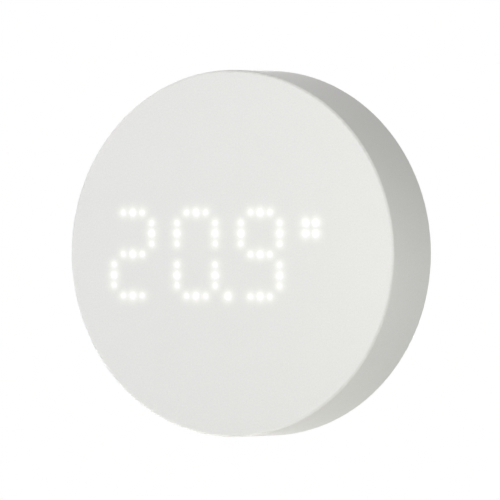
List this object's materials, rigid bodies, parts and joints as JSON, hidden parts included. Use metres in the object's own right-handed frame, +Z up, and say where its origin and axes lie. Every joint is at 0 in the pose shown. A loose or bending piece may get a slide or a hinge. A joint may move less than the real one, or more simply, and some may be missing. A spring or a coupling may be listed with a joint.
{
  "type": "temperature humidity sensor",
  "caption": "Round wall-mounted room sensor: a flat drafted puck with a hidden dot display, battery bay, vented sensing chamber, pairing button and a twist-off wall plate.",
  "frame": {"origin": "centre of the wall plate's back face, on the wall", "axes": "+Y into the wall, so the display faces -Y; +Z up; +X to the right of someone who reads the display"},
  "size_m": [0.0848, 0.02, 0.0848],
  "materials": {
    "cover_plastic": "fine spark-eroded texture",
    "diffuser_film": "matt film",
    "mask_plastic": "moulded black",
    "led_package": "moulded package with phosphor",
    "board_laminate": "solder mask",
    "screw_steel": "zinc plated",
    "chip_epoxy": "moulded epoxy",
    "module_laminate": "solder mask",
    "tinned_steel": "tinned",
    "can_aluminium": "drawn can",
    "ferrite": "pressed and sintered",
    "gasket_foam": "closed-cell foam",
    "switch_plastic": "moulded",
    "button_plastic": "moulded",
    "housing_plastic": "moulded, fine texture",
    "cell_sleeve": "plain printed sleeve",
    "nickel_strip": "nickel plated",
    "plate_plastic": "moulded, fine texture",
    "pad_foam": "foam tape with paper liner"
  },
  "bodies": {
    "wall_mount": {"wall_plate": "plate_plastic", "adhesive_pads": "pad_foam"},
    "sensor_unit": {"front_cover": "cover_plastic", "display_diffuser": "diffuser_film", "display_mask": "mask_plastic", "display_leds": "led_package", "main_board": "board_laminate", "board_screws": "screw_steel", "microcontroller": "chip_epoxy", "led_driver": "chip_epoxy", "radio_module": "module_laminate", "radio_shield": "tinned_steel", "clock_crystal": "tinned_steel", "buffer_capacitors": "can_aluminium", "power_inductor": "ferrite", "humidity_sensor": "chip_epoxy", "sensor_gasket": "gasket_foam", "tact_switch": "switch_plastic", "rear_housing": "housing_plastic", "case_screws": "screw_steel", "upper_battery": "cell_sleeve", "lower_battery": "cell_sleeve", "bridge_contact": "nickel_strip", "plus_contact": "nickel_strip", "minus_contact": "nickel_strip", "upper_spring": "nickel_strip", "lower_spring": "nickel_strip"},
    "pairing_button": {"pair_button": "button_plastic", "switch_plunger": "switch_plastic"}
  },
  "joints": [
    {"name": "twist_lock", "type": "hinge", "parent": "wall_mount", "child": "sensor_unit", "pos_m": [0, 0, 0], "axis": [0, -1, 0], "range_deg": [0, 28]},
    {"name": "button_press", "type": "slide", "parent": "sensor_unit", "child": "pairing_button", "axis": [0, -1, 0], "range_m": [0, 0.0004], "stiffness_N_per_m": 500}
  ]
}
